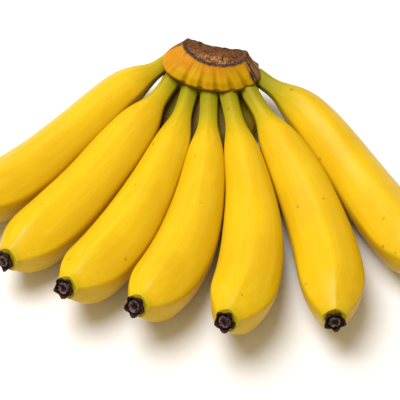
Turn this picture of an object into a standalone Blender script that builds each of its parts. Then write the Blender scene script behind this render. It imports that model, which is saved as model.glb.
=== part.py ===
"""A hand of seven bananas joined at one crown, lying on a flat surface with the tips curling up.

Built in metres, +Z up, fingers fanning towards -Y. The hand rests on the bellies of its fingers,
and the origin is under the middle of its bounding box.
"""
from bisect import bisect
from math import cos, pi, radians, sin

import bmesh
import bpy
import numpy as np
from mathutils import Matrix, Vector

MM = 0.001
GAP = 0.3 * MM                  # clearance kept between pieces that touch

# ---- fingers: one entry each, left to right seen from the tips (lengths in mm, angles in degrees)
# root: where the neck meets the crown    heading: compass direction of the neck, 0 is -Y
# neck_turn, body_turn: change of heading along the neck and along the body
# rise: upward pitch at the tip           neck_share: part of the length that is slim neck
# shoulder: thickness just past the neck, as a share of the full girth
FINGERS = [
    dict(root=(-24.9, 104.0), heading=-58.5, neck_turn=20.5, body_turn=-4.5, rise=30,
         length=172, radius=17.9, shoulder=0.70, neck_share=0.04),
    dict(root=(-18.1, 90.0), heading=-32.0, neck_turn=1.5, body_turn=-6.0, rise=22,
         length=174, radius=18.8, shoulder=0.72, neck_share=0.11),
    dict(root=(-6.4, 82.7), heading=-13.5, neck_turn=-5.5, body_turn=-16.0, rise=35,
         length=181, radius=18.2, shoulder=0.62, neck_share=0.12),
    dict(root=(5.8, 77.8), heading=-1.5, neck_turn=-4.0, body_turn=-29.5, rise=35,
         length=181, radius=18.3, shoulder=0.62, neck_share=0.14),
    dict(root=(18.0, 77.2), heading=10.8, neck_turn=-2.0, body_turn=-35.5, rise=35,
         length=187, radius=18.7, shoulder=0.61, neck_share=0.13),
    dict(root=(30.2, 82.6), heading=27.2, neck_turn=-6.0, body_turn=-28.0, rise=21,
         length=188, radius=18.6, shoulder=0.71, neck_share=0.13),
    dict(root=(38.7, 92.0), heading=55.0, neck_turn=-25.5, body_turn=-13.0, rise=27,
         length=183, radius=18.3, shoulder=0.72, neck_share=0.07),
]
ROOT_PITCH = -9.0               # every neck dips a little on its way out of the crown
LOW_POINT = 0.57                # share of the length at which a finger is level, and rests
NECK_TURN_END = 0.35            # share of the length by which the neck has done its turn
BODY_TURN_START = 0.30          # share of the length at which the body starts to turn
NECK_RADIUS = 0.30              # neck thickness, as a share of the full girth
TIP_RADIUS = 0.31               # thickness at the blossom end
BURIED_NECK = 8.0               # length of neck inside the crown before it is trimmed, mm
RINGS = 30                      # cross-sections along a finger
RING_CROWDING = 0.085           # how much closer the cross-sections stand at both ends
SIDES = 20                      # points round a cross-section
RIDGE = 0.035                   # how far the five ridges stand out, as a share of the radius
REST_FLAT = 0.25                # depth of the flat that each belly rests on, mm

# ---- blossom remnant at the tip of each finger, mm
TIP_STAR_RADIUS = 5.9
TIP_STAR_LOBE = 0.12
TIP_THICKNESS = 3.6
TIP_EDGE = 0.7

# ---- crown, mm
CROWN_CENTRE = (7.6, 97.0)
CROWN_TURN = -11.0              # degrees about Z
CROWN_SLOPE = -0.09             # the cut top falls towards +X
CROWN_GROOVES = (0, 20, 39.5, 58.5, 77.5, 96, 116.5, 180)    # bearings of the skirt's grooves, from +X
LOBE_FULLNESS = 0.6             # under 1 makes the lobes plump with sharp grooves between
CROWN_ARC_STEPS = 60
CROWN_BACK_STEPS = 8
CROWN_HOLLOW = 2.2              # how far the back face curves in
CROWN_BACK_WIDTH = 0.88         # width of the back face, as a share of the full width
# height, half width, depth of the rounded front, depth of the back, lobe depth, shift in x and y
CROWN_LEVELS = [
    (4.0, 26.0, 30.0, 5.4, 0.015, -1.0, 1.0),
    (6.0, 32.5, 39.0, 7.6, 0.025, -1.0, 0.5),
    (9.5, 34.5, 41.5, 9.2, 0.030, -1.0, 0.0),
    (14.5, 33.0, 34.0, 9.9, 0.020, -0.5, 0.0),
    (20.0, 30.4, 19.5, 9.9, 0.000, 0.0, 0.0),
    (30.5, 31.0, 19.5, 9.9, 0.010, 0.0, 0.0),
    (31.8, 32.4, 22.2, 9.0, 0.035, 0.0, 0.0),
    (33.5, 33.0, 23.0, 7.4, 0.040, 0.0, 0.0),
    (38.0, 29.6, 21.2, 5.4, 0.032, 0.5, 0.8),
    (42.0, 25.2, 18.2, 4.8, 0.020, 1.3, 1.8),
    (45.0, 22.0, 16.0, 3.6, 0.008, 2.1, 2.9),
    (46.0, 21.2, 15.5, 3.0, 0.000, 2.3, 3.3),
]
# a second cut slices off the crown's +X end
END_CUT_POINT = (28.8, 90.7, 44.2)
END_CUT_NORMAL = (0.76, -0.27, 0.59)
END_CUTTER_SIZE = 60.0
TABLE_CUTTER_SIZE = 600.0

SKIN = dict(colour=(0.93, 0.62, 0.03), roughness=0.42)
CROWN_SKIN = dict(colour=(0.72, 0.42, 0.05), roughness=0.6)
DRY_BLOSSOM = dict(colour=(0.045, 0.026, 0.020), roughness=0.85)


def clear_scene():
    for old in list(bpy.data.objects):
        bpy.data.objects.remove(old, do_unlink=True)


def new_collection(name):
    collection = bpy.data.collections.new(name)
    bpy.context.scene.collection.children.link(collection)
    return collection


def new_material(name, colour, roughness):
    material = bpy.data.materials.new(name)
    material.use_nodes = True
    shader = material.node_tree.nodes["Principled BSDF"]
    shader.inputs["Base Color"].default_value = (*colour, 1)
    shader.inputs["Roughness"].default_value = roughness
    shader.inputs["Metallic"].default_value = 0.0
    material.diffuse_color = (*colour, 1)
    return material


def as_helper(obj):
    obj.hide_render = True
    obj.display_type = "WIRE"
    return obj


def ease(t):
    t = np.clip(t, 0, 1)
    return t * t * (3 - 2 * t)


def smooth_through(knots, values, at):
    """A curve through the values that never overshoots them (monotone cubic)."""
    knots, values = np.array(knots), np.array(values)
    step = np.diff(knots)
    slope = np.diff(values) / step
    product = slope[:-1] * slope[1:]
    inner = np.where(product > 0, 2 * product / (slope[:-1] + slope[1:] + 1e-12), 0)
    tangent = np.concatenate([slope[:1], inner, slope[-1:]])
    k = np.clip(np.searchsorted(knots, at, side="right") - 1, 0, len(step) - 1)
    t = (at - knots[k]) / step[k]
    return (
        values[k] * (1 + 2 * t) * (1 - t) ** 2
        + values[k + 1] * t * t * (3 - 2 * t)
        + tangent[k] * step[k] * t * (1 - t) ** 2
        - tangent[k + 1] * step[k] * t * t * (1 - t)
    )


def finger_radii(finger, share):
    neck_end, shoulder = finger["neck_share"], finger["shoulder"]
    profile = [
        (0.0, NECK_RADIUS),
        (neck_end / 2, NECK_RADIUS * 0.95),
        (neck_end, NECK_RADIUS * 1.05),
        (neck_end + 0.055, (NECK_RADIUS + shoulder) / 2 + 0.02),
        (neck_end + 0.12, shoulder),
        (0.40, shoulder + 0.16),
        (0.56, 0.94),
        (0.72, 1.0),
        (0.82, 0.985),
        (0.90, 0.85),
        (0.95, 0.64),
        (0.98, 0.44),
        (1.0, TIP_RADIUS),
    ]
    knots, values = zip(*profile)
    return smooth_through(knots, values, share) * finger["radius"] * MM


def finger_headings(finger, share):
    """Unit directions of growth: a turn in the neck, a turn in the body, and a rise to the tip."""
    turn = finger["neck_turn"] * ease(share / NECK_TURN_END)
    along_body = np.clip((share - BODY_TURN_START) / (1 - BODY_TURN_START), 0, 1)
    turn = turn + finger["body_turn"] * along_body ** 1.3
    heading = np.radians(finger["heading"] + turn)
    dip = ROOT_PITCH * np.clip(1 - share / LOW_POINT, 0, 1)
    lift = finger["rise"] * np.clip((share - LOW_POINT) / (1 - LOW_POINT), 0, 1) ** 1.25
    pitch = np.radians(dip + lift)
    flat = np.cos(pitch)
    return np.stack([np.sin(heading) * flat, -np.cos(heading) * flat, np.sin(pitch)], axis=1)


def finger_spine(finger):
    """Points and radii from inside the crown to the blossom end, rings closer at both ends."""
    even = np.linspace(0, 1, RINGS)
    share = even - RING_CROWDING * np.sin(2 * pi * even)
    fine = np.linspace(0, 1, 400)
    headings = finger_headings(finger, fine)
    travel = np.vstack([np.zeros(3), np.cumsum((headings[1:] + headings[:-1]) / 2, axis=0)])
    travel *= finger["length"] * MM / (len(fine) - 1)
    points = np.stack([np.interp(share, fine, travel[:, i]) for i in range(3)], axis=1)
    radii = finger_radii(finger, share)
    inward = np.array([*CROWN_CENTRE, 0]) - np.array([*finger["root"], 0])
    inward = inward / np.linalg.norm(inward) - headings[0]
    buried = inward / np.linalg.norm(inward) * BURIED_NECK * MM
    points = np.vstack([buried, points]) + np.array([*finger["root"], 0]) * MM
    return points, np.concatenate([radii[:1], radii]), Vector(headings[-1])


def ridged_section(collection):
    """Unit cross-section of a finger: a soft pentagon with one ridge on top."""
    outline = bpy.data.curves.new("finger_section", "CURVE")
    outline.dimensions = "2D"
    spline = outline.splines.new("POLY")
    spline.points.add(SIDES - 1)
    spline.use_cyclic_u = True
    for i, point in enumerate(spline.points):
        angle = 2 * pi * i / SIDES
        reach = 1 + RIDGE * cos(5 * angle)
        point.co = (reach * sin(angle), reach * cos(angle), 0, 1)
    section = bpy.data.objects.new("finger_section", outline)
    collection.objects.link(section)
    return as_helper(section)


def mesh_from_curve(curve_object, collection):
    """The curve's evaluated shape as a closed mesh object; the curve is removed."""
    bpy.context.view_layer.update()
    graph = bpy.context.evaluated_depsgraph_get()
    mesh = bpy.data.meshes.new_from_object(curve_object.evaluated_get(graph))
    name, matrix = curve_object.name, curve_object.matrix_world.copy()
    bpy.data.objects.remove(curve_object, do_unlink=True)
    shape = bmesh.new()
    shape.from_mesh(mesh)
    bmesh.ops.remove_doubles(shape, verts=shape.verts, dist=0.001 * MM)
    bmesh.ops.recalc_face_normals(shape, faces=shape.faces)
    shape.to_mesh(mesh)
    shape.free()
    obj = bpy.data.objects.new(name, mesh)
    obj.matrix_world = matrix
    mesh.name = name
    mesh.shade_smooth()
    mesh.set_sharp_from_angle(angle=radians(40))
    collection.objects.link(obj)
    return obj


def swept_finger(name, points, radii, section, collection):
    path = bpy.data.curves.new(name, "CURVE")
    path.dimensions = "3D"
    path.twist_mode = "Z_UP"
    path.bevel_mode = "OBJECT"
    path.bevel_object = section
    path.use_fill_caps = True
    spline = path.splines.new("POLY")
    spline.points.add(len(points) - 1)
    for point, place, radius in zip(spline.points, points, radii):
        point.co = (*place, 1)
        point.radius = radius
    curve_object = bpy.data.objects.new(name, path)
    collection.objects.link(curve_object)
    return mesh_from_curve(curve_object, collection)


def subtract(target, cutter):
    cut = target.modifiers.new("cut_" + cutter.name, "BOOLEAN")
    cut.operation = "DIFFERENCE"
    cut.solver = "EXACT"
    cut.object = cutter


def lobe_height(bearing):
    """0 in a groove of the skirt, 1 at the middle of a lobe."""
    lobe = min(bisect(CROWN_GROOVES, bearing), len(CROWN_GROOVES) - 1)
    start, end = CROWN_GROOVES[lobe - 1], CROWN_GROOVES[lobe]
    return abs(sin(pi * (bearing - start) / (end - start))) ** LOBE_FULLNESS


def crown_outline(half_width, front, back, lobe, margin):
    """One level of the crown: a lobed half ellipse in front, a hollow back edge behind."""
    half_back = half_width * CROWN_BACK_WIDTH + margin
    points = []
    for bearing in np.linspace(0, 180, CROWN_ARC_STEPS + 1):
        reach = 1 + lobe * (lobe_height(bearing) - 0.6)
        points.append(((half_width * reach + margin) * cos(radians(bearing)),
                       -(front * reach + margin) * sin(radians(bearing))))
    for across in np.linspace(-1, 1, CROWN_BACK_STEPS + 1):
        points.append((across * half_back,
                       back + margin - CROWN_HOLLOW * (1 - across * across)))
    return points


def crown_body(name, collection, margin=0.0):
    """Levels lofted from the underside to the cut top. The margin, in mm, makes it fatter."""
    shape = bmesh.new()
    rings = []
    last = len(CROWN_LEVELS) - 1
    for i, (height, half_width, front, back, lobe, shift_x, shift_y) in enumerate(CROWN_LEVELS):
        slope = CROWN_SLOPE * ease(i / last)
        lift = -margin if i == 0 else margin if i == last else 0
        rings.append([
            shape.verts.new((x + shift_x, y + shift_y, height + lift + slope * x))
            for x, y in crown_outline(half_width, front, back, lobe, margin)
        ])
    for lower, upper in zip(rings, rings[1:]):
        for i in range(len(lower)):
            j = (i + 1) % len(lower)
            shape.faces.new((lower[i], lower[j], upper[j], upper[i]))
    shape.faces.new(rings[0])
    shape.faces.new(rings[-1])
    bmesh.ops.recalc_face_normals(shape, faces=shape.faces)
    place = Matrix.Translation((*CROWN_CENTRE, 0)) @ Matrix.Rotation(radians(CROWN_TURN), 4, "Z")
    bmesh.ops.transform(shape, matrix=place, verts=shape.verts)
    bmesh.ops.scale(shape, vec=(MM, MM, MM), verts=shape.verts)
    mesh = bpy.data.meshes.new(name)
    shape.to_mesh(mesh)
    shape.free()
    mesh.shade_smooth()
    mesh.set_sharp_from_angle(angle=radians(35))
    obj = bpy.data.objects.new(name, mesh)
    collection.objects.link(obj)
    return obj


def cutting_block(name, size, point, normal, collection):
    """A box whose one face passes through the point, facing against the normal."""
    shape = bmesh.new()
    bmesh.ops.create_cube(shape, size=size)
    bmesh.ops.translate(shape, vec=(0, 0, size / 2), verts=shape.verts)
    turn = Vector(normal).to_track_quat("Z", "Y").to_matrix().to_4x4()
    bmesh.ops.transform(shape, matrix=Matrix.Translation(point) @ turn, verts=shape.verts)
    mesh = bpy.data.meshes.new(name)
    shape.to_mesh(mesh)
    shape.free()
    obj = bpy.data.objects.new(name, mesh)
    collection.objects.link(obj)
    return as_helper(obj)


def rest_on_table(obj):
    """Lowers or lifts the finger so that its belly dips the depth of the rest flat below z = 0."""
    lowest = min(vertex.co.z for vertex in obj.data.vertices)
    lift = -lowest - REST_FLAT * MM
    obj.data.transform(Matrix.Translation((0, 0, lift)))
    return lift


def blossom_tip(name, place, direction, collection):
    """The dried flower remnant: a thick five-lobed disc seated on the finger's end."""
    outline = bpy.data.curves.new(name, "CURVE")
    outline.dimensions = "2D"
    outline.fill_mode = "BOTH"
    outline.extrude = (TIP_THICKNESS / 2 - TIP_EDGE) * MM
    outline.bevel_depth = TIP_EDGE * MM
    outline.bevel_resolution = 0
    spline = outline.splines.new("POLY")
    spline.points.add(SIDES - 1)
    spline.use_cyclic_u = True
    for i, point in enumerate(spline.points):
        angle = 2 * pi * i / SIDES
        reach = TIP_STAR_RADIUS * (1 + TIP_STAR_LOBE * cos(5 * angle)) - TIP_EDGE
        point.co = (reach * cos(angle) * MM, reach * sin(angle) * MM, 0, 1)
    curve_object = bpy.data.objects.new(name, outline)
    collection.objects.link(curve_object)
    tip = mesh_from_curve(curve_object, collection)
    tip.location = place + direction * (TIP_THICKNESS / 2 * MM + GAP)
    tip.rotation_euler = direction.to_track_quat("Z", "Y").to_euler()
    return tip


def world_box(objects):
    """Lowest and highest corners of the evaluated objects."""
    bpy.context.view_layer.update()
    graph = bpy.context.evaluated_depsgraph_get()
    corners = []
    for obj in objects:
        shown = obj.evaluated_get(graph)
        mesh = shown.to_mesh()
        corners += [shown.matrix_world @ vertex.co for vertex in mesh.vertices]
        shown.to_mesh_clear()
    corners = np.array(corners)
    return corners.min(axis=0), corners.max(axis=0)


def build():
    clear_scene()
    parts = new_collection("banana_hand")
    cutters = new_collection("cutters")
    skin = new_material("banana_skin", **SKIN)
    crown_skin = new_material("crown_skin", **CROWN_SKIN)
    dry_blossom = new_material("dry_blossom", **DRY_BLOSSOM)

    crown = crown_body("crown", parts)
    crown.data.materials.append(crown_skin)
    end_cut = cutting_block("crown_end_cut", END_CUTTER_SIZE * MM, Vector(END_CUT_POINT) * MM,
                            END_CUT_NORMAL, cutters)
    subtract(crown, end_cut)
    crown_space = as_helper(crown_body("crown_space", cutters, margin=GAP / MM))
    table = cutting_block("table_space", TABLE_CUTTER_SIZE * MM, (0, 0, 0), (0, 0, -1), cutters)

    section = ridged_section(cutters)
    pieces = [crown]
    for number, finger in enumerate(FINGERS, start=1):
        points, radii, direction = finger_spine(finger)
        body = swept_finger(f"finger_{number}", points, radii, section, parts)
        body.data.materials.append(skin)
        lift = rest_on_table(body)
        subtract(body, crown_space)
        subtract(body, table)
        tip = blossom_tip(f"blossom_tip_{number}", Vector(points[-1]) + Vector((0, 0, lift)),
                          direction, parts)
        tip.data.materials.append(dry_blossom)
        pieces += [body, tip]

    low, high = world_box(pieces)
    hand = bpy.data.objects.new("hand_origin", None)
    parts.objects.link(hand)
    for piece in [*pieces, *cutters.objects]:
        piece.parent = hand
    hand.location = (-(low[0] + high[0]) / 2, -(low[1] + high[1]) / 2, 0)
    bpy.context.view_layer.update()
    print("overall size, mm:", [round(side / MM, 1) for side in high - low])


build()
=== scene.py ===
import math

import bpy
import numpy as np
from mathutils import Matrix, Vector, noise
from mathutils.bvhtree import BVHTree
from mathutils.kdtree import KDTree


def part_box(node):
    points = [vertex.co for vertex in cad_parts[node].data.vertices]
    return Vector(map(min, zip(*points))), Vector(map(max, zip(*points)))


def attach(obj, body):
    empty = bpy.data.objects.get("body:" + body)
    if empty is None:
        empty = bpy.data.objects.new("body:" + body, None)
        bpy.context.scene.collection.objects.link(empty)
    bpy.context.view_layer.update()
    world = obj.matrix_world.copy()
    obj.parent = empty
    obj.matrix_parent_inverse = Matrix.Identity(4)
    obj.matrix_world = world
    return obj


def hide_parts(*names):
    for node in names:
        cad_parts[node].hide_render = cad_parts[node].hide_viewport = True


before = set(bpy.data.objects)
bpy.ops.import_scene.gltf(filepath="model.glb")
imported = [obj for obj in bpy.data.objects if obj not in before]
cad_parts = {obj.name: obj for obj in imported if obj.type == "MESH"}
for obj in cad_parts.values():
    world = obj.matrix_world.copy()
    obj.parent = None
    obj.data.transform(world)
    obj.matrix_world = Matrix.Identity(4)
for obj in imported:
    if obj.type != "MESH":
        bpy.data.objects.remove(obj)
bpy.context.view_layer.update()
print("frame loaded:", len(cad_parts), "nodes")

fingerCount = 7


# Small helpers for meshes

def startFresh():
    # operators act on all that is selected, so nothing may be left selected
    if bpy.context.object and bpy.context.object.mode != "OBJECT":
        bpy.ops.object.mode_set(mode="OBJECT")
    bpy.ops.object.select_all(action="DESELECT")


def takeUp(piece):
    startFresh()
    piece.select_set(True)
    bpy.context.view_layer.objects.active = piece


def applyModifier(piece, kind, **settings):
    takeUp(piece)
    modifier = piece.modifiers.new(kind.lower(), kind)
    for name, value in settings.items():
        setattr(modifier, name, value)
    bpy.ops.object.modifier_apply(modifier=modifier.name)


def pointsOf(mesh):
    points = np.empty(len(mesh.vertices) * 3)
    mesh.vertices.foreach_get("co", points)
    return points.reshape(-1, 3)


def putPoints(mesh, points):
    mesh.vertices.foreach_set("co", np.ascontiguousarray(points, float).ravel())
    mesh.update()


def normalsOf(mesh):
    normals = np.empty(len(mesh.vertices) * 3)
    mesh.vertices.foreach_get("normal", normals)
    return normals.reshape(-1, 3)


def putAttribute(mesh, name, values):
    values = np.ascontiguousarray(values, np.float32)
    if values.ndim == 1:
        layer = mesh.attributes.new(name, "FLOAT", "POINT")
        layer.data.foreach_set("value", values)
    else:
        layer = mesh.attributes.new(name, "FLOAT_VECTOR", "POINT")
        layer.data.foreach_set("vector", values.ravel())


def softNoise(points, scale, seed=0.0, octaves=3):
    # soft random heights between about -1 and 1, the same each run
    shift = Vector((seed, seed * 1.7, seed * 2.3))
    return np.array([
        noise.fractal(Vector(point) * scale + shift, 0.6, 2.0, octaves) for point in points
    ])


def softStep(values, low, high):
    share = np.clip((np.asarray(values, float) - low) / (high - low), 0, 1)
    return share * share * (3 - 2 * share)


def bump(values, middle, width):
    return np.exp(-((np.asarray(values, float) - middle) / width) ** 2)


# Helpers for nodes. An input takes a number, a colour or another node's output

def addNode(tree, kind, inputs=None, **settings):
    node = tree.nodes.new(kind)
    for name, value in settings.items():
        setattr(node, name, value)
    for name, value in (inputs or {}).items():
        if isinstance(value, bpy.types.NodeSocket):
            tree.links.new(value, node.inputs[name])
        else:
            node.inputs[name].default_value = value
    return node


def calc(tree, operation, *values):
    node = tree.nodes.new("ShaderNodeMath")
    node.operation = operation
    for socket, value in zip(node.inputs, values):
        if isinstance(value, bpy.types.NodeSocket):
            tree.links.new(value, socket)
        else:
            socket.default_value = value
    return node.outputs[0]


def shifted(tree, value, share):
    # a 0 to 1 value turned into a shift to both sides of zero
    return calc(tree, "MULTIPLY", calc(tree, "SUBTRACT", value, 0.5), share)


def noiseOf(tree, place, scale, **inputs):
    inputs.update(Vector=place, Scale=scale)
    return addNode(tree, "ShaderNodeTexNoise", inputs).outputs["Fac"]


def remap(tree, value, low, high, toLow=0.0, toHigh=1.0):
    node = addNode(tree, "ShaderNodeMapRange", {
        "Value": value, "From Min": low, "From Max": high, "To Min": toLow, "To Max": toHigh,
    }, interpolation_type="SMOOTHSTEP")
    return node.outputs["Result"]


def mixColours(tree, factor, first, second):
    node = addNode(tree, "ShaderNodeMix", data_type="RGBA")
    for index, value in ((0, factor), (6, first), (7, second)):
        if isinstance(value, bpy.types.NodeSocket):
            tree.links.new(value, node.inputs[index])
        elif index == 0:
            node.inputs[index].default_value = value
        else:
            node.inputs[index].default_value = (*value, 1)
    return node.outputs[2]


def attribute(tree, name, output="Fac"):
    return addNode(tree, "ShaderNodeAttribute", attribute_name=name).outputs[output]


def newGroup(name, inputs, outputs):
    group = bpy.data.node_groups.new(name, "ShaderNodeTree")
    for socketName, socketType, value in inputs:
        socket = group.interface.new_socket(socketName, in_out="INPUT", socket_type=socketType)
        if value is not None:
            socket.default_value = value
    for socketName, socketType in outputs:
        group.interface.new_socket(socketName, in_out="OUTPUT", socket_type=socketType)
    entry = group.nodes.new("NodeGroupInput").outputs
    leave = group.nodes.new("NodeGroupOutput").inputs
    return group, entry, leave


def useGroup(tree, group, inputs):
    node = tree.nodes.new("ShaderNodeGroup")
    node.node_tree = group
    for name, value in inputs.items():
        if isinstance(value, bpy.types.NodeSocket):
            tree.links.new(value, node.inputs[name])
        else:
            node.inputs[name].default_value = value
    return node.outputs


def newMaterial(name, **plain):
    material = bpy.data.materials.new(name)
    material.use_nodes = True
    shader = material.node_tree.nodes["Principled BSDF"]
    for socketName, value in plain.items():
        shader.inputs[socketName.replace("_", " ")].default_value = value
    return material, material.node_tree, shader


def makeFibreGroup():
    # fibres that run along X of the place given: thin stretched streaks, 0 to 1
    group, entry, leave = newGroup("fibreStreaks", [
        ("Place", "NodeSocketVector", None),
        ("Along", "NodeSocketFloat", 20.0),
        ("Across", "NodeSocketFloat", 400.0),
        ("Wander", "NodeSocketFloat", 0.6),
    ], [("Streak", "NodeSocketFloat")])
    scale = addNode(group, "ShaderNodeCombineXYZ", {"X": entry["Along"], "Y": entry["Across"],
                                                    "Z": entry["Across"]}).outputs[0]
    place = addNode(group, "ShaderNodeVectorMath", operation="MULTIPLY")
    group.links.new(entry["Place"], place.inputs[0])
    group.links.new(scale, place.inputs[1])
    streak = addNode(group, "ShaderNodeTexNoise", {
        "Vector": place.outputs[0], "Scale": 1.0, "Detail": 3.0, "Roughness": 0.55,
        "Distortion": entry["Wander"],
    })
    group.links.new(remap(group, streak.outputs["Fac"], 0.3, 0.7), leave["Streak"])
    return group


def makeSpeckGroup():
    # scattered spots of unlike sizes, 1 inside a spot
    group, entry, leave = newGroup("drySpecks", [
        ("Place", "NodeSocketVector", None),
        ("Scale", "NodeSocketFloat", 200.0),
        ("Size", "NodeSocketFloat", 0.2),
        ("Share", "NodeSocketFloat", 0.2),
    ], [("Speck", "NodeSocketFloat")])
    wobble = addNode(group, "ShaderNodeTexNoise", {
        "Vector": entry["Place"], "Scale": 900.0, "Detail": 1.0})
    shift = addNode(group, "ShaderNodeVectorMath", {"Scale": 0.0012}, operation="SCALE")
    group.links.new(wobble.outputs["Color"], shift.inputs[0])
    place = addNode(group, "ShaderNodeVectorMath", operation="ADD")
    group.links.new(entry["Place"], place.inputs[0])
    group.links.new(shift.outputs[0], place.inputs[1])
    cells = addNode(group, "ShaderNodeTexVoronoi", {
        "Vector": place.outputs[0], "Scale": entry["Scale"], "Randomness": 1.0})
    pick = addNode(group, "ShaderNodeSeparateColor", {"Color": cells.outputs["Color"]})
    chosen = calc(group, "LESS_THAN", pick.outputs[0], entry["Share"])
    size = calc(group, "MULTIPLY", entry["Size"], calc(group, "ADD", pick.outputs[1], 0.25))
    inside = calc(group, "SUBTRACT", 1.0, calc(group, "DIVIDE", cells.outputs["Distance"], size))
    spot = remap(group, inside, 0.0, 0.6)
    group.links.new(calc(group, "MULTIPLY", spot, chosen), leave["Speck"])
    return group


fibreStreaks = makeFibreGroup()
drySpecks = makeSpeckGroup()


def streaksAt(tree, place, along, across, wander):
    return useGroup(tree, fibreStreaks, {
        "Place": place, "Along": along, "Across": across, "Wander": wander})["Streak"]


def specksAt(tree, place, scale, size, share):
    return useGroup(tree, drySpecks, {
        "Place": place, "Scale": scale, "Size": size, "Share": share})["Speck"]


# Banana skin

skinLook = dict(
    neckGreen=(0.24, 0.22, 0.002),       # where the neck leaves the crown
    neckYellow=(0.40, 0.315, 0.002),
    ripe=(0.665, 0.428, 0.002),
    gold=(0.61, 0.366, 0.001),
    # the skin's own pale streaks, their bluish paleness partly a painted sheen
    paleAndSheen=(0.72, 0.50, 0.030),
    dull=(0.54, 0.334, 0.002),
    tipGreen=(0.42, 0.36, 0.006),        # a thin ring round the blossom end
    ridgeLine=(0.26, 0.17, 0.004),
    speck=(0.19, 0.09, 0.008),
    neckEnds=0.27,                       # share of the length where the green has gone
    paleAndSheenShare=0.34,                      # how strongly each kind of streak shows
    fineShare=0.22,
    wideShare=0.30,
    tipGreenFrom=(0.976, 0.998),         # share of the length where the ring starts and is full
    smallSpecks=(130.0, 0.19, 0.13),     # scale, size, share of the cells that have one
    largeSpecks=(42.0, 0.058, 0.22),
    mottleScale=28.0,
    roughness=0.37,
    neckRoughness=0.62,
    relief=0.00012,                      # metres
)


def makeSkin():
    look = skinLook
    material, tree, shader = newMaterial(
        "bananaSkin", Subsurface_Weight=0.06, Subsurface_Scale=0.003,
        Subsurface_Radius=(1.0, 0.45, 0.08), Specular_IOR_Level=0.19)
    along = attribute(tree, "along")
    ridge = attribute(tree, "ridge")
    straight = attribute(tree, "straight", "Vector")
    mottle = noiseOf(tree, straight, look["mottleScale"], Detail=4.0, Roughness=0.55)
    streak = streaksAt(tree, straight, 9.0, 330.0, 0.5)
    fine = streaksAt(tree, straight, 60.0, 1500.0, 0.3)
    wide = streaksAt(tree, straight, 5.0, 120.0, 0.9)

    body = mixColours(tree, remap(tree, mottle, 0.35, 0.68), look["ripe"], look["gold"])
    # pale streaks of the skin, partly painted sheen
    body = mixColours(tree, calc(tree, "MULTIPLY", streak, look["paleAndSheenShare"]), body, look["paleAndSheen"])
    body = mixColours(tree, calc(tree, "MULTIPLY", fine, look["fineShare"]), body, look["dull"])
    body = mixColours(tree, calc(tree, "MULTIPLY", wide, look["wideShare"]), body, look["dull"])

    # the green of the neck ends along a wandering line
    ripeness = calc(tree, "ADD", attribute(tree, "ripeAlong"), shifted(tree, mottle, 0.14))
    ripeness = calc(tree, "ADD", ripeness, shifted(tree, streak, 0.03))
    neck = mixColours(tree, remap(tree, ripeness, 0.02, 0.15), look["neckGreen"], look["neckYellow"])
    skin = mixColours(tree, remap(tree, ripeness, 0.10, look["neckEnds"]), neck, body)
    unevenEnd = calc(tree, "ADD", along, calc(tree, "MULTIPLY", streak, 0.004))
    nearTip = remap(tree, unevenEnd, *look["tipGreenFrom"])
    skin = mixColours(tree, calc(tree, "MULTIPLY", nearTip, 0.55), skin, look["tipGreen"])

    # ridges show as slightly darker lines, most of all on the neck
    towardsTip = remap(tree, along, 0.85, 0.97, 0.0, 0.3)
    ends = calc(tree, "MAXIMUM", remap(tree, along, 0.30, 0.05), towardsTip)
    line = calc(tree, "MULTIPLY", calc(tree, "MULTIPLY", ridge, ends), calc(tree, "ADD", streak, 0.3))
    skin = mixColours(tree, calc(tree, "MULTIPLY", line, 0.38), skin, look["ridgeLine"])

    small = calc(tree, "MULTIPLY", specksAt(tree, straight, *look["smallSpecks"]), 0.5)
    large = calc(tree, "MULTIPLY", specksAt(tree, straight, *look["largeSpecks"]), 0.55)
    specks = calc(tree, "MAXIMUM", small, large)
    skin = mixColours(tree, specks, skin, look["speck"])
    tree.links.new(skin, shader.inputs["Base Color"])

    rough = remap(tree, along, 0.05, 0.30, look["neckRoughness"], look["roughness"])
    rough = calc(tree, "ADD", rough, shifted(tree, mottle, 0.22))
    rough = calc(tree, "ADD", rough, calc(tree, "MULTIPLY", specks, 0.2))
    tree.links.new(rough, shader.inputs["Roughness"])
    pores = noiseOf(tree, straight, 1400.0, Detail=2.0)
    height = calc(tree, "ADD", calc(tree, "MULTIPLY", fine, 0.35), calc(tree, "MULTIPLY", pores, 0.5))
    height = calc(tree, "ADD", height, streak)
    relief = addNode(tree, "ShaderNodeBump", {
        "Height": height, "Strength": 0.35, "Distance": look["relief"]})
    tree.links.new(relief.outputs[0], shader.inputs["Normal"])
    return material


bananaSkin = makeSkin()
print("banana skin made")


# Fingers. The centre line and the girth come from the frame, cut across every few mm

fingerMeasure = dict(
    step=0.002,              # between two cuts
    fromTip=0.0012,
    reach=0.034,             # nothing further from the centre line belongs to the cut
    neckMost=0.0075,         # a radius below this is the neck's
    lost=0.86,               # the neck has ended where a radius falls to this share of the last
)

fingerShape = dict(
    around=40,               # points round a ring, eight to each of the five sides
    rings=40,
    crowding=0.09,           # rings stand closer at both ends
    buried=0.006,            # neck that runs on into the crown
    plump=0.0004,            # neighbours touch, where the frame keeps a gap
    # share of the length, and how strongly the five ridges stand out there
    ridges=[(0.0, 0.50), (0.12, 0.50), (0.26, 0.34), (0.50, 0.24), (0.70, 0.34), (0.88, 0.60),
            (1.0, 0.55)],
    ridgeHeight=0.19,
    ridgeLevel=0.36,         # of a ridge's height, where the girth is the frame's own
    unevenness=0.0005,
    seatInset=0.0012,        # the hollow that the blossom end sits in
    seatDepth=0.0010,
    riper=[0.07, 0.04, 0, 0, 0, 0, 0],       # how much less of the neck is green
)


def flatTriangles(node):
    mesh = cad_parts[node].data
    mesh.calc_loop_triangles()
    corners = pointsOf(mesh)
    return corners[np.array([triangle.vertices for triangle in mesh.loop_triangles])]


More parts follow.
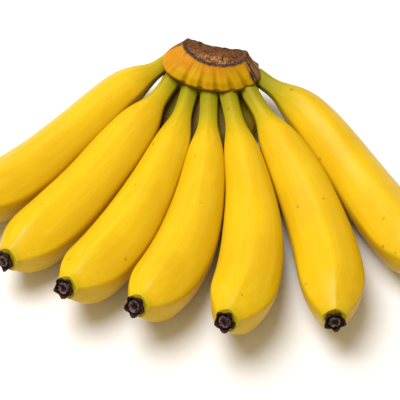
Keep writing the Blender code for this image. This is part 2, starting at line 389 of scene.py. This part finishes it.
def measureTip(number):
    # middle of the blossom tip, the way it faces, and its thickness
    points = pointsOf(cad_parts[f"blossom_tip_{number}"].data)
    low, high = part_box(f"finger_{number}")
    middle = (points.min(axis=0) + points.max(axis=0)) / 2
    outward = np.linalg.svd(points - points.mean(axis=0))[2][2]
    if outward @ (middle - np.array((low + high) / 2)) < 0:
        outward = -outward
    thickness = np.ptp((points - middle) @ outward)
    heights = (points - middle) @ outward
    middle = middle + outward * ((heights.max() + heights.min()) / 2)
    return middle, outward, thickness


def cutAcross(triangles, point, direction, reach):
    # middle and radius of the outline where the plane cuts the triangles
    heights = (triangles - point) @ direction
    ends = []
    for a, b in ((0, 1), (1, 2), (2, 0)):
        crossing = heights[:, a] * heights[:, b] < 0
        first, second = triangles[crossing, a], triangles[crossing, b]
        share = heights[crossing, a] / (heights[crossing, a] - heights[crossing, b])
        ends.append(first + share[:, None] * (second - first))
    ends = np.concatenate(ends)
    ends = ends[np.linalg.norm(ends - point, axis=1) < reach]
    if len(ends) < 12:
        return None, 0
    side = np.cross(direction, (0, 0, 1))
    side /= np.linalg.norm(side)
    up = np.cross(side, direction)
    flat = np.stack([(ends - point) @ side, (ends - point) @ up], axis=1)
    around = flat - flat.mean(axis=0)
    flat = flat[np.argsort(np.arctan2(around[:, 0], around[:, 1]))]
    after = np.roll(flat, -1, axis=0)
    cross = flat[:, 0] * after[:, 1] - flat[:, 1] * after[:, 0]
    area = cross.sum() / 2
    centre = ((flat + after) * cross[:, None]).sum(axis=0) / (6 * area)
    return point + centre[0] * side + centre[1] * up, math.sqrt(abs(area) / math.pi)


def measureFinger(number):
    # points along the middle and the radius there, from the crown to the tip
    look = fingerMeasure
    triangles = flatTriangles(f"finger_{number}")
    middle, outward, thickness = measureTip(number)
    end = middle - outward * (thickness / 2 + 0.0003)
    direction = -outward
    point = end + direction * look["fromTip"]
    points, radii = [end], []
    while True:
        centre, radius = cutAcross(triangles, point, direction, look["reach"])
        if centre is None:
            break
        if radii and radii[-1] < look["neckMost"] and radius < look["lost"] * radii[-1]:
            break
        points.append(centre)
        radii.append(radius)
        back = points[max(len(points) - 5, 0)]
        direction = (centre - back) / np.linalg.norm(centre - back)
        point = centre + direction * look["step"]
    radii = [radii[0]] + radii
    beyond = points[-1] + direction * fingerShape["buried"]
    points.append(beyond)
    radii.append(radii[-1])
    return np.array(points)[::-1], np.array(radii)[::-1]


def smoothed(values, times):
    values = np.array(values, float)
    for _ in range(times):
        values[1:-1] = (values[:-2] + 2 * values[1:-1] + values[2:]) / 4
    return values


def pentagon(angle):
    # 1 on the five ridges, falling to 0 in the middle of the flats between them
    sector = 2 * math.pi / 5
    inner = math.cos(sector / 2)
    around = (angle + sector / 2) % sector - sector / 2       # 0 on a ridge
    reach = inner / np.cos(sector / 2 - np.abs(around))
    return (reach - inner) / (1 - inner)


def placeRings(length):
    even = np.linspace(0, 1, fingerShape["rings"])
    return length * (even - fingerShape["crowding"] * np.sin(2 * np.pi * even))


def extrudeRings(name, places, radii):
    # a straight finger along X, drawn out ring by ring
    startFresh()
    bpy.ops.mesh.primitive_circle_add(
        vertices=fingerShape["around"], radius=radii[0], fill_type="NGON", rotation=(0, math.pi / 2, 0))
    piece = bpy.context.object
    piece.name = name
    piece.data.name = name
    bpy.ops.object.transform_apply(location=True, rotation=True, scale=True)
    bpy.ops.object.mode_set(mode="EDIT")
    bpy.ops.mesh.select_all(action="SELECT")
    for i in range(1, len(places)):
        bpy.ops.mesh.extrude_region_move(
            TRANSFORM_OT_translate={"value": (places[i] - places[i - 1], 0, 0)})
        grow = radii[i] / radii[i - 1]
        bpy.ops.transform.resize(value=(1, grow, grow), center_override=(places[i], 0, 0))
    bpy.ops.mesh.inset(thickness=fingerShape["seatInset"])
    bpy.ops.transform.translate(value=(-fingerShape["seatDepth"], 0, 0))
    bpy.ops.mesh.select_all(action="SELECT")
    bpy.ops.mesh.normals_make_consistent(inside=False)
    bpy.ops.object.mode_set(mode="OBJECT")
    return piece


def bendAlong(piece, points):
    # the curve keeps Z up, so the first ridge stays on top
    startFresh()
    path = bpy.data.curves.new("bendPath", "CURVE")
    path.dimensions = "3D"
    path.twist_mode = "Z_UP"
    path.resolution_u = 24
    spline = path.splines.new("BEZIER")
    spline.bezier_points.add(len(points) - 1)
    for knot, point in zip(spline.bezier_points, points):
        knot.co = point
        knot.handle_left_type = "AUTO"
        knot.handle_right_type = "AUTO"
    guide = bpy.data.objects.new("bendPath", path)
    bpy.context.scene.collection.objects.link(guide)
    applyModifier(piece, "CURVE", object=guide, deform_axis="POS_X")
    bpy.data.objects.remove(guide)


def growFinger(number):
    look = fingerShape
    points, radii = measureFinger(number)
    points = np.stack([smoothed(points[:, i], 6) for i in range(3)], axis=1)
    radii = smoothed(radii, 2) + look["plump"]
    lengths = np.concatenate([[0], np.cumsum(np.linalg.norm(np.diff(points, axis=0), axis=1))])
    places = placeRings(lengths[-1])
    piece = extrudeRings(f"banana_{number}", places, np.interp(places, lengths, radii))

    shares, strengths = zip(*look["ridges"])
    straight = pointsOf(piece.data)
    share = np.clip(straight[:, 0] / lengths[-1], 0, 1)
    angle = np.arctan2(straight[:, 1], straight[:, 2])
    strength = np.interp(share, shares, strengths)
    reach = 1 + strength * look["ridgeHeight"] * (pentagon(angle) - look["ridgeLevel"])
    straight[:, 1:] *= reach[:, None]
    putPoints(piece.data, straight)
    applyModifier(piece, "SUBSURF", levels=2, render_levels=2)

    straight = pointsOf(piece.data)
    share = np.clip(straight[:, 0] / lengths[-1], 0, 1)
    angle = np.arctan2(straight[:, 1], straight[:, 2])
    uneven = softNoise(straight * (0.35, 1, 1), 42.0, seed=number * 3.1, octaves=2)
    girth = np.interp(straight[:, 0], lengths, radii) / radii.max()
    push = uneven * look["unevenness"] * girth / np.linalg.norm(straight[:, 1:] + 1e-9, axis=1)
    straight[:, 1:] *= (1 + push)[:, None]
    putPoints(piece.data, straight)
    putAttribute(piece.data, "along", share)
    putAttribute(piece.data, "ripeAlong", share + look["riper"][number - 1])
    putAttribute(piece.data, "ridge", pentagon(angle) ** 4)
    putAttribute(piece.data, "straight", straight + (number * 0.31, 0, 0))

    bendAlong(piece, points[np.unique(np.linspace(0, len(points) - 1, 26).astype(int))])
    bent = pointsOf(piece.data)
    bent[:, 2] = np.maximum(bent[:, 2], 0)                    # the belly presses flat
    putPoints(piece.data, bent)
    takeUp(piece)
    bpy.ops.object.shade_smooth()
    piece.data.materials.append(bananaSkin)
    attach(piece, "root")
    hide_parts(f"finger_{number}")
    length, thickness = round(lengths[-1] * 1000, 1), round(radii.max() * 2000, 1)
    print("finger", number, "grown:", length, "mm long,", thickness, "mm thick")
    return piece


fingers = [growFinger(number) for number in range(1, fingerCount + 1)]


# Dry blossom ends

blossomLook = dict(
    dark=(0.006, 0.002, 0.001),
    brown=(0.036, 0.010, 0.005),
    ash=(0.24, 0.155, 0.145),            # painted highlight on the raised disc's edge and the rim
    roughness=0.40,
)

blossomShape = dict(
    points=40,               # round the rim, eight to each of the five lobes
    radius=0.0054,
    lobeDepth=0.25,
    knobHeight=0.0011,       # of the lobes above the rim
    stubHeight=0.0026,
    flare=1.06,
    rimWidth=0.0013,
    bowlDepth=0.0010,
    discWidth=0.0013,
    discHeight=0.0015,
    discRing=0.0027,         # the painted highlight is brightest at the disc's edge
    # painted highlight on the outer rim
    rimHighlight=0.12,
    dimple=0.0011,
    crumple=0.00040,
)


def makeBlossomMaterial():
    look = blossomLook
    material, tree, shader = newMaterial("dryBlossom", Specular_IOR_Level=0.10)
    place = attribute(tree, "unturned", "Vector")
    paintedHighlight = attribute(tree, "paintedHighlight")
    crust = noiseOf(tree, place, 700.0, Detail=4.0, Roughness=0.7)
    flakes = addNode(tree, "ShaderNodeTexVoronoi", {
        "Vector": place, "Scale": 900.0}).outputs["Distance"]
    colour = mixColours(tree, remap(tree, crust, 0.42, 0.66), look["dark"], look["brown"])
    # painted highlight: the pale colour on the raised disc and rim stands in for glints
    discHighlight = calc(tree, "MULTIPLY", paintedHighlight, remap(tree, crust, 0.42, 0.58))
    colour = mixColours(tree, calc(tree, "MULTIPLY", discHighlight, 0.85), colour, look["ash"])
    tree.links.new(colour, shader.inputs["Base Color"])
    rough = calc(tree, "ADD", look["roughness"], calc(tree, "MULTIPLY", crust, 0.2))
    tree.links.new(rough, shader.inputs["Roughness"])
    height = calc(tree, "ADD", crust, calc(tree, "MULTIPLY", flakes, 0.6))
    relief = addNode(tree, "ShaderNodeBump", {"Height": height, "Strength": 0.6, "Distance": 0.0004})
    tree.links.new(relief.outputs[0], shader.inputs["Normal"])
    return material


def modelBlossom():
    # one stub with a five-lobed rim, a bowl and a small disc, its seat on Z = 0
    look = blossomShape
    startFresh()
    bpy.ops.mesh.primitive_circle_add(
        vertices=look["points"], radius=look["radius"], fill_type="NGON", location=(0, 0, 0))
    piece = bpy.context.object
    piece.name = "blossomModel"
    bpy.ops.object.mode_set(mode="EDIT")
    bpy.ops.mesh.select_all(action="SELECT")
    for height, grow in ((0.5, 1.02), (0.5, look["flare"])):
        bpy.ops.mesh.extrude_region_move(
            TRANSFORM_OT_translate={"value": (0, 0, look["stubHeight"] * height)})
        bpy.ops.transform.resize(value=(grow, grow, 1), center_override=(0, 0, 0))
    bpy.ops.mesh.inset(thickness=look["rimWidth"] * 0.5)
    bpy.ops.mesh.inset(thickness=look["rimWidth"] * 0.5)
    bpy.ops.transform.translate(value=(0, 0, -look["bowlDepth"]))
    bpy.ops.mesh.inset(thickness=look["discWidth"] * 0.6)
    bpy.ops.mesh.inset(thickness=look["discWidth"] * 0.4)
    bpy.ops.transform.translate(value=(0, 0, look["discHeight"]))
    bpy.ops.mesh.inset(thickness=look["discWidth"] * 0.5)
    bpy.ops.mesh.inset(thickness=look["discWidth"] * 0.4)
    bpy.ops.transform.translate(value=(0, 0, -look["dimple"]))
    bpy.ops.mesh.select_all(action="SELECT")
    bpy.ops.mesh.normals_make_consistent(inside=False)
    bpy.ops.object.mode_set(mode="OBJECT")
    points = pointsOf(piece.data)
    angle = np.arctan2(points[:, 1], points[:, 0])
    far = np.hypot(points[:, 0], points[:, 1]) / look["radius"]
    lobe = np.abs(np.cos(2.5 * angle)) ** 1.6
    points[:, :2] *= (1 + look["lobeDepth"] * (lobe - 0.55) * softStep(far, 0.68, 0.98))[:, None]
    upper = softStep(points[:, 2], 0.001, look["stubHeight"])
    points[:, 2] += look["knobHeight"] * lobe * softStep(far, 0.8, 1.0) * upper
    putPoints(piece.data, points)
    applyModifier(piece, "SUBSURF", levels=2, render_levels=2)
    return piece


def seatBlossom(model, number):
    # a copy with its own crumple, turned to face out of the finger's end
    look = blossomShape
    mesh = model.data.copy()
    piece = bpy.data.objects.new(f"dry_blossom_{number}", mesh)
    mesh.name = piece.name
    bpy.context.scene.collection.objects.link(piece)
    points = pointsOf(mesh)
    normals = normalsOf(mesh)
    far = np.hypot(points[:, 0], points[:, 1])
    crumple = softNoise(points, 420.0, seed=number * 5.3, octaves=3)
    sway = softNoise(points, 130.0, seed=number * 2.9, octaves=1)
    points = points + normals * (crumple * look["crumple"])[:, None]
    points[:, 2] += sway * look["crumple"] * 1.5 * softStep(points[:, 2], 0, look["stubHeight"])
    putAttribute(mesh, "unturned", points + (number * 0.05, 0, 0))
    # painted highlight, brightest on the disc's edge and faint on the rim
    high = softStep(points[:, 2], look["stubHeight"] * 0.55, look["stubHeight"] * 0.95)
    paleAndSheen = bump(far, look["discRing"], look["discRing"] * 0.3)
    paleAndSheen = paleAndSheen + look["rimHighlight"] * softStep(far, 0.0046, 0.0052)
    putAttribute(mesh, "paintedHighlight", high * paleAndSheen)
    middle, outward, thickness = measureTip(number)
    facing = Vector(outward).to_track_quat("Z", "Y").to_matrix()
    turned = points @ np.array(facing).T + middle - outward * thickness / 2
    putPoints(mesh, turned)
    takeUp(piece)
    bpy.ops.object.shade_smooth()
    mesh.materials.append(dryBlossom)
    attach(piece, "root")
    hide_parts(f"blossom_tip_{number}")
    return piece


dryBlossom = makeBlossomMaterial()
blossomModel = modelBlossom()
blossoms = [seatBlossom(blossomModel, number) for number in range(1, fingerCount + 1)]
bpy.data.objects.remove(blossomModel)
print("blossom ends seated")


# Crown

crownShape = dict(
    voxel=0.0007,
    turn=11.0,               # degrees, of the crown's own axes from the frame's
    middleShift=0.0018,      # from the middle of the crown's box
    fromBack=0.0153,
    frontShare=0.69,         # depth of the front as a share of the half width
    topDepth=0.008,          # the cut face is within this of the top
    topFacing=0.97,          # how squarely a face has to face up, and each other way
    endFacing=0.985,
    backFacing=0.55,
    underFacing=-0.7,
    endNormal=(0.76, -0.27, 0.59),
    endGrain=(0.50, -0.40, -0.77),
    hemBelowTop=0.0174,      # the skirt's lower edge
    skirtSlope=0.055,        # it falls towards +X
    grooves=(20, 39.5, 58.5, 77.5, 96, 116.5),     # bearings in degrees, seen from above, from +X
    faintGrooves=(48, 68, 86, 105),
    faintShare=0.35,
    grooveWidth=3.0,
    grooveDepth=0.0014,
    dish=0.0012,             # the cut face is hollow by this much
    fibreDepth=0.00032,
    lumpDepth=0.0003,
    streakDepth=0.0006,
    rimHeight=0.0004,
    rimWidth=0.0022,
    fanBack=0.018,           # the fibres of the cut face fan out from behind it
    knobPlace=(0.0285, 0.0070, 0.0325),
    knobSize=0.0022,
    knobHeight=0.0010,
    shadePadReach=0.009,          # a dark pad that stands in for the shade between the necks runs on under them, and further at the sides
    shadePadSides=0.017,
)

crownLook = dict(
    skin=(0.52, 0.305, 0.001),
    skinOrange=(0.50, 0.205, 0.005),
    # painted shade: darker orange in the furrows
    paintedGrooveShade=(0.34, 0.15, 0.002),
    brown=(0.10, 0.042, 0.010),
    dark=(0.020, 0.012, 0.011),
    ash=(0.125, 0.098, 0.110),
    fibre=(0.46, 0.21, 0.075),
    fibreDark=(0.080, 0.028, 0.009),
    endBrown=(0.085, 0.036, 0.020),
    endTan=(0.38, 0.20, 0.085),
    paintedShadePad=(0.15, 0.080, 0.003),            # painted shade: dark olive of the pad under the necks, standing in for the shade there
    paintedShadePadGreen=(0.15, 0.115, 0.003),
)


def edgesOf(mesh):
    edges = np.empty(len(mesh.edges) * 2, int)
    mesh.edges.foreach_get("vertices", edges)
    return edges.reshape(-1, 2)


def spread(values, edges, times):
    # lets a mask run out softly over the mesh
    values = np.array(values, float)
    count = np.bincount(edges.ravel(), minlength=len(values))
    for _ in range(times):
        total = np.bincount(edges[:, 0], values[edges[:, 1]], len(values))
        total += np.bincount(edges[:, 1], values[edges[:, 0]], len(values))
        values = (values + total / count) / 2
    return values


def reachOfShadePad(points, low, high):
    # the dark pad, painted shade between the necks, runs on under them, most of all towards both sides
    # of the hand
    look = crownShape
    aside = np.abs(points[:, 0] - (low.x + high.x) / 2) / ((high.x - low.x) / 2)
    front = (high.y - look["fromBack"] - low.y) * np.sqrt(np.clip(1 - aside ** 2, 0.02, 1))
    ahead = softStep((high.y - look["fromBack"] - points[:, 1]) / front, 0.25, 1.0)
    lowDown = 1 - softStep(points[:, 2], low.z + 0.009, low.z + 0.014)
    return ahead * lowDown * (look["shadePadReach"] + look["shadePadSides"] * np.minimum(aside, 0.8) ** 2)


def remeshedCrown():
    # the frame's crown again, as one even mesh
    startFresh()
    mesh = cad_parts["crown"].data.copy()
    mesh.materials.clear()
    piece = bpy.data.objects.new("crown_top", mesh)
    mesh.name = piece.name
    bpy.context.scene.collection.objects.link(piece)
    takeUp(piece)
    bpy.ops.object.mode_set(mode="EDIT")
    bpy.ops.mesh.select_all(action="SELECT")
    bpy.ops.mesh.remove_doubles(threshold=0.000001)
    bpy.ops.object.mode_set(mode="OBJECT")
    applyModifier(piece, "REMESH", mode="VOXEL", voxel_size=crownShape["voxel"])
    applyModifier(piece, "SMOOTH", factor=0.5, iterations=3)
    return piece


def crownPlaces(points, low, high):
    # places along the crown's own turned axes, and bearings from its middle
    look = crownShape
    middle = np.array([(low.x + high.x) / 2 + look["middleShift"], high.y - look["fromBack"], 0])
    turn = math.radians(look["turn"])
    away = points - middle
    across = away[:, 0] * math.cos(turn) - away[:, 1] * math.sin(turn)
    deep = away[:, 0] * math.sin(turn) + away[:, 1] * math.cos(turn)
    bearing = np.degrees(np.arctan2(-deep / look["frontShare"], across))
    backward = np.array([math.sin(turn), math.cos(turn), 0])
    return across, deep, bearing, backward


def crownFaces(points, backward, endNormal, top):
    # which of the frame's faces each point lies on: cut face, dried end, dried back or skirt
    look = crownShape
    corners = flatTriangles("crown").reshape(-1, 3)
    tree = BVHTree.FromPolygons(corners.tolist(), np.arange(len(corners)).reshape(-1, 3).tolist())
    facing = np.array([tree.find_nearest(Vector(point))[1] for point in points])
    onTop = (facing[:, 2] > look["topFacing"]) & (points[:, 2] > top - look["topDepth"])
    onEnd = facing @ endNormal > look["endFacing"]
    onBack = (facing @ backward > look["backFacing"]) & ~onTop
    onUnder = facing[:, 2] < look["underFacing"]
    return onTop, onEnd, onBack, ~(onTop | onEnd | onBack | onUnder)


def rimAround(points, edges, onTop, deep):
    # a raised band just inside the border of the cut face, widest in front
    look = crownShape
    border = np.unique(edges[onTop[edges[:, 0]] != onTop[edges[:, 1]]])
    nearest = KDTree(len(border))
    for index in border:
        nearest.insert(points[index], index)
    nearest.balance()
    fromBorder = np.array([nearest.find(point)[2] for point in points])
    width = look["rimWidth"] * (1 - 0.75 * softStep(deep, -0.005, 0.001))
    width = width * (1 + 0.25 * softNoise(points, 220.0, seed=7.0, octaves=1))
    inner = 1 - softStep(fromBorder - width, -0.0004, 0.0003)
    outer = 1 - softStep(fromBorder, 0.0002, 0.0009)
    return np.where(onTop, inner, outer)


def groovesIn(skirt, bearing, heights, hemZ, top):
    # furrows between the grown-together necks, fading towards the cut face
    look = crownShape
    groove = sum(bump(bearing, g, look["grooveWidth"]) for g in look["grooves"])
    faint = sum(bump(bearing, g, look["grooveWidth"]) for g in look["faintGrooves"])
    groove = (groove + look["faintShare"] * faint) * skirt
    groove = groove * softStep(heights, hemZ - 0.003, hemZ + 0.002)
    return groove * (1 - 0.75 * softStep(heights, hemZ + 0.004, top - 0.003))


def carveCrown():
    look = crownShape
    piece = remeshedCrown()
    mesh = piece.data
    points, normals, edges = pointsOf(mesh), normalsOf(mesh), edgesOf(mesh)
    low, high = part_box("crown")
    # stretch the dark pad that stands in for the shade between the necks
    points[:, 1] -= reachOfShadePad(points, low, high)
    heights = points[:, 2]
    hemZ = high.z - look["hemBelowTop"]
    across, deep, bearing, backward = crownPlaces(points, low, high)
    turned = np.stack([across, deep, heights], axis=1)
    endNormal = np.array(Vector(look["endNormal"]).normalized())
    onTop, onEnd, onBack, onSkirt = crownFaces(points, backward, endNormal, high.z)
    cutFace, driedEnd, skirt = (spread(flags, edges, 2) for flags in (onTop, onEnd, onSkirt))
    driedBack = spread(onBack, edges, 3)
    rim = rimAround(points, edges, onTop, deep)
    groove = groovesIn(skirt, bearing, heights, hemZ, high.z)
    fromKnob = np.linalg.norm(turned - look["knobPlace"], axis=1)
    knob = bump(fromKnob, 0, look["knobSize"])

    # the skirt is dry and brown where it meets the back and the end
    backEdge = softStep(spread(onBack | onEnd, edges, 5), 0.04, 0.35) * onSkirt
    rightEdge = softStep(across, 0.024, 0.027) * softStep(deep, -0.006, -0.002) * onSkirt
    leftEdge = softStep(-across, 0.010, 0.012) * softStep(deep, -0.0004, 0.0009) * onSkirt
    backEdge = np.maximum(np.maximum(backEdge, rightEdge), leftEdge)

    inside = spread(onTop, edges, 24) * onTop
    fibres = softNoise(points * (1, 1, 0.3), 900.0, seed=4.0, octaves=2)
    coarse = softNoise(points, 260.0, seed=9.0, octaves=2)
    grain = np.array(Vector(look["endGrain"]).normalized())
    endPlace = points @ np.stack([grain, np.cross(endNormal, grain), endNormal], axis=1)
    streaks = softNoise(endPlace * (0.12, 1, 0.6), 620.0, seed=2.0, octaves=2)
    uneven = softNoise(points, 90.0, seed=6.0, octaves=2)
    move = -groove * look["grooveDepth"]
    move = move + cutFace * (fibres * look["fibreDepth"] + coarse * look["lumpDepth"])
    move = move - look["dish"] * softStep(inside, 0.55, 1.0)
    move = move + rim * look["rimHeight"] * (1 + 0.6 * coarse)
    move = move + (driedEnd + driedBack) * streaks * look["streakDepth"]
    move = move + knob * look["knobHeight"]
    move = move + uneven * look["lumpDepth"] * skirt
    putPoints(mesh, points + normals * move[:, None])

    level = heights + look["skirtSlope"] * across
    fanX, fanY = across - 0.002, deep - look["fanBack"]
    fanAngle = np.arctan2(fanX, -fanY) * look["fanBack"]
    tanPatch = np.exp(-(((across - 0.0015) / 0.015) ** 2 + ((deep + 0.0085) / 0.0055) ** 2))
    for name, values in dict(
        cutFace=cutFace,
        driedEnd=driedEnd,
        driedBack=driedBack,
        rim=rim,
        backEdge=np.maximum(backEdge, knob),
        groove=np.clip(groove, 0, 1),
        local=turned,
        endPlace=endPlace,
        fan=np.stack([np.hypot(fanX, fanY), fanAngle, heights], axis=1),
        tanPatch=tanPatch,
        # hem: the skirt's brown lower band, partly its dry edge and partly painted shade
        hem=(1 - softStep(level, hemZ + 0.0026, hemZ + 0.0044)) * skirt,
        # the dark pad's mask: painted shade between the necks
        shadePadMask=1 - softStep(level, hemZ - 0.0006, hemZ + 0.0008),
        wash=np.stack([heights, np.radians(bearing) * 0.03, 0 * deep], axis=1),
        height=softStep(heights, hemZ, high.z),
        # painted light: the lobe that faces the light
        litLeftLobe=softStep(bearing, 115, 140) * skirt,
    ).items():
        putAttribute(mesh, name, values)
    takeUp(piece)
    bpy.ops.object.shade_smooth()
    mesh.materials.append(crownSkin)
    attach(piece, "root")
    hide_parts("crown")
    return piece


def colourSkirt(tree, height, soft, clumps):
    # yellow below and orange above, with a brown hem that is partly painted shade, over the pad's dark
    # olive, which is painted shade between the necks; the lit left lobe gets painted extra orange
    look = crownLook
    washed = streaksAt(tree, attribute(tree, "wash", "Vector"), 50.0, 330.0, 0.7)
    orange = calc(tree, "ADD", remap(tree, height, 0.25, 1.0, 0.0, 0.75), shifted(tree, soft, 1.2))
    # painted light: the lit left lobe is tinted more orange
    orange = calc(tree, "ADD", orange, calc(tree, "MULTIPLY", attribute(tree, "litLeftLobe"), 0.35))
    orange = calc(tree, "ADD", orange, shifted(tree, washed, 0.7))
    skin = mixColours(tree, remap(tree, orange, 0.1, 0.9), look["skin"], look["skinOrange"])
    # painted shade: the furrows are coloured darker
    furrowShade = calc(tree, "MULTIPLY", attribute(tree, "groove"), 0.6)
    skin = mixColours(tree, furrowShade, skin, look["paintedGrooveShade"])
    upper = remap(tree, height, 0.6, 1.0, 0.0, 0.4)
    worn = calc(tree, "MULTIPLY", remap(tree, clumps, 0.55, 0.72), upper)
    skin = mixColours(tree, worn, skin, look["brown"])
    # partly painted shade: the brown hem darkens the skirt's lower edge where it overhangs the necks,
    # over its dry brown edge
    hem = calc(tree, "MULTIPLY", attribute(tree, "hem"), 0.8)
    skin = mixColours(tree, hem, skin, look["brown"])
    # painted shade: the pad's dark olive stands in for the shade between the necks
    paintedShadePad = mixColours(tree, remap(tree, soft, 0.38, 0.62), look["paintedShadePad"], look["paintedShadePadGreen"])
    skin = mixColours(tree, attribute(tree, "shadePadMask"), skin, paintedShadePad)
    patchy = remap(tree, clumps, 0.35, 0.6, 0.55, 1.0)
    ragged = calc(tree, "MULTIPLY", attribute(tree, "backEdge"), patchy)
    return mixColours(tree, ragged, skin, look["fibreDark"])


def colourCutFace(tree, soft, grain, clumps):
    # fibres fan out from behind, paler in a patch near the front, with dark pits
    look = crownLook
    strands = streaksAt(tree, attribute(tree, "fan", "Vector"), 160.0, 950.0, 1.6)
    fibrous = calc(tree, "MULTIPLY", strands, remap(tree, grain, 0.34, 0.58))
    patch = calc(tree, "ADD", attribute(tree, "tanPatch"), calc(tree, "SUBTRACT", soft, 0.55))
    fibrous = calc(tree, "MULTIPLY", fibrous, remap(tree, patch, -0.05, 0.70, 0.28, 1.3))
    cut = mixColours(tree, fibrous, look["fibreDark"], look["fibre"])
    pits = calc(tree, "MULTIPLY", remap(tree, clumps, 0.52, 0.66), 0.75)
    return mixColours(tree, pits, cut, look["dark"])


def colourDried(tree):
    look = crownLook
    place = attribute(tree, "endPlace", "Vector")
    streaks = streaksAt(tree, place, 45.0, 560.0, 0.8)
    cracks = streaksAt(tree, place, 70.0, 800.0, 1.2)
    dry = mixColours(tree, streaks, look["endBrown"], look["endTan"])
    return mixColours(tree, remap(tree, cracks, 0.55, 0.85), dry, look["dark"])


def makeCrownMaterial():
    look = crownLook
    material, tree, shader = newMaterial(
        "crownSkin", Specular_IOR_Level=0.12, Subsurface_Weight=0.08, Subsurface_Scale=0.003,
        Subsurface_Radius=(1.0, 0.45, 0.1))
    local = attribute(tree, "local", "Vector")
    height = attribute(tree, "height")
    cutFace = attribute(tree, "cutFace")
    driedEnd = attribute(tree, "driedEnd")
    soft = noiseOf(tree, local, 70.0, Detail=3.0)
    grain = noiseOf(tree, local, 900.0, Detail=4.0, Roughness=0.7)
    clumps = noiseOf(tree, local, 330.0, Detail=3.0, Roughness=0.65)

    skirt = colourSkirt(tree, height, soft, clumps)
    dried = calc(tree, "MAXIMUM", driedEnd, attribute(tree, "driedBack"))
    colour = mixColours(tree, dried, skirt, colourDried(tree))
    colour = mixColours(tree, cutFace, colour, colourCutFace(tree, soft, grain, clumps))
    band = mixColours(tree, remap(tree, grain, 0.49, 0.64), look["dark"], look["ash"])
    colour = mixColours(tree, calc(tree, "MULTIPLY", attribute(tree, "rim"), 0.95), colour, band)
    tree.links.new(colour, shader.inputs["Base Color"])

    dryness = calc(tree, "MAXIMUM", cutFace, driedEnd)
    rough = calc(tree, "ADD", 0.48, calc(tree, "MULTIPLY", dryness, 0.35))
    tree.links.new(rough, shader.inputs["Roughness"])
    relief = addNode(tree, "ShaderNodeBump", {
        "Height": calc(tree, "MULTIPLY", grain, calc(tree, "ADD", dryness, 0.12)),
        "Strength": 0.7, "Distance": 0.0005})
    tree.links.new(relief.outputs[0], shader.inputs["Normal"])
    return material


crownSkin = makeCrownMaterial()
crown = carveCrown()
print("crown carved:", len(crown.data.polygons), "faces")


# Floor, light and camera

studio = dict(
    floorSize=6.0,
    floorColour=(0.76, 0.76, 0.76),
    skyColour=(1.0, 0.87, 0.62),         # the white paper around throws warm light back
    skyStrength=0.53,
    keyPlace=(-0.36, 0.11, 1.19),
    keySize=0.92,
    keyPower=20.8,
    keyColour=(1.0, 0.995, 1.03),
    target=(0.0048, -0.0021, 0.015),
    elevation=52.0,
    distance=0.75,
    lens=110.66,
)


def setStudio():
    look = studio
    startFresh()
    bpy.ops.mesh.primitive_plane_add(size=look["floorSize"], location=(0, 0, 0))
    floor = bpy.context.object
    floor.name = "floor"
    paper = newMaterial(
        "floorPaper", Base_Color=(*look["floorColour"], 1), Roughness=0.8, Specular_IOR_Level=0.2)[0]
    floor.data.materials.append(paper)

    world = bpy.data.worlds.new("studioSky")
    world.use_nodes = True
    world.node_tree.nodes["Background"].inputs["Color"].default_value = (*look["skyColour"], 1)
    world.node_tree.nodes["Background"].inputs["Strength"].default_value = look["skyStrength"]
    bpy.context.scene.world = world
    bpy.context.scene.view_settings.view_transform = "Standard"

    target = Vector(look["target"])
    key = bpy.data.lights.new("keyLight", "AREA")
    key.shape = "DISK"
    key.size = look["keySize"]
    key.energy = look["keyPower"]
    key.color = look["keyColour"]
    lamp = bpy.data.objects.new("keyLight", key)
    lamp.location = look["keyPlace"]
    lamp.rotation_euler = (target - lamp.location).to_track_quat("-Z", "Y").to_euler()
    bpy.context.scene.collection.objects.link(lamp)

    lift = math.radians(look["elevation"])
    lens = bpy.data.cameras.new("camera")
    lens.lens = look["lens"]
    lens.sensor_width = 36
    camera = bpy.data.objects.new("camera", lens)
    camera.location = target + Vector((0, -math.cos(lift), math.sin(lift))) * look["distance"]
    camera.rotation_euler = (math.pi / 2 - lift, 0, 0)
    bpy.context.scene.collection.objects.link(camera)
    bpy.context.scene.camera = camera


setStudio()
print("studio set")
